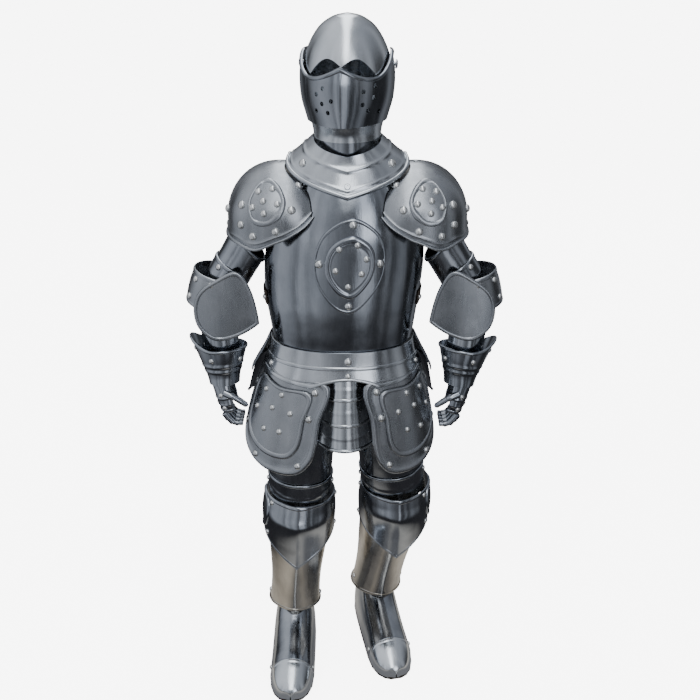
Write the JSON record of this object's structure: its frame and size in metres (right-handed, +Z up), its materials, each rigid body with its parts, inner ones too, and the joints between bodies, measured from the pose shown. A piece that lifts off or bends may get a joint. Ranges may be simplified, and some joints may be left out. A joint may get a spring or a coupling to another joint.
{
  "type": "suit of plate armour",
  "caption": "Standing three-foot suit of polished steel plate armour with a visored helmet, riveted panels, winged elbow and knee plates, gauntlets and sabatons.",
  "frame": {"origin": "on the floor under the middle of the suit's bounding box", "axes": "+X towards the suit's own left hand, -Y the way it faces, +Z up"},
  "size_m": [0.4136, 0.2362, 0.9125],
  "materials": {
    "steel": "polished sheet steel with fine brushing",
    "satin_steel": "satin sheet steel, slightly darker",
    "bright_steel": "mirror-polished sheet steel",
    "leather": "dark waxed leather"
  },
  "bodies": {
    "suit": {"helmet_skull": "bright_steel", "helmet_bevor": "bright_steel", "helmet_neck": "steel", "visor_pivot_left": "bright_steel", "visor_pivot_right": "bright_steel", "gorget": "steel", "breastplate": "steel", "backplate": "steel", "boss_plate": "steel", "boss_dome": "steel", "fauld_belt": "steel", "fauld_lame": "steel", "groin_lame_1": "bright_steel", "groin_lame_2": "bright_steel", "groin_lame_3": "bright_steel", "tasset_left": "satin_steel", "tasset_panel_left": "satin_steel", "tasset_right": "satin_steel", "tasset_panel_right": "satin_steel", "culet_upper": "steel", "culet_lower": "steel", "side_strap_left": "leather", "side_strap_right": "leather", "pauldron_left": "satin_steel", "pauldron_right": "satin_steel", "pauldron_panel_left": "satin_steel", "pauldron_panel_right": "satin_steel", "upper_cannon_left": "steel", "elbow_lame_upper_left": "steel", "couter_left": "satin_steel", "cuisse_left": "steel", "thigh_strap_left": "leather", "knee_lame_left": "steel", "poleyn_left": "steel", "greave_left": "satin_steel", "sabaton_left": "steel", "toe_cap_left": "bright_steel", "sole_left": "leather", "upper_cannon_right": "steel", "elbow_lame_upper_right": "steel", "couter_right": "satin_steel", "cuisse_right": "steel", "thigh_strap_right": "leather", "knee_lame_right": "steel", "poleyn_right": "steel", "greave_right": "satin_steel", "sabaton_right": "steel", "toe_cap_right": "bright_steel", "sole_right": "leather"},
    "visor": {"visor": "steel"},
    "forearm_right": {"elbow_lame_lower_right": "steel", "lower_cannon_right": "steel", "gauntlet_cuff_right": "steel", "gauntlet_hand_right": "steel", "gauntlet_fingers_right": "steel"},
    "forearm_left": {"elbow_lame_lower_left": "steel", "lower_cannon_left": "steel", "gauntlet_cuff_left": "steel", "gauntlet_hand_left": "steel", "gauntlet_fingers_left": "steel"}
  },
  "joints": [
    {"name": "visor_pivot", "type": "hinge", "parent": "suit", "child": "visor", "pos_m": [0.00492, 0.03722, 0.856], "axis": [-0.9925, 0.1219, 0], "range_deg": [0, 55]},
    {"name": "elbow_right", "type": "hinge", "parent": "suit", "child": "forearm_right", "pos_m": [-0.16795, 0.03608, 0.562], "axis": [0, 1, 0], "range_deg": [0, 24]},
    {"name": "elbow_left", "type": "hinge", "parent": "suit", "child": "forearm_left", "pos_m": [0.16805, 0.03608, 0.562], "axis": [0, -1, 0], "range_deg": [0, 24]}
  ]
}
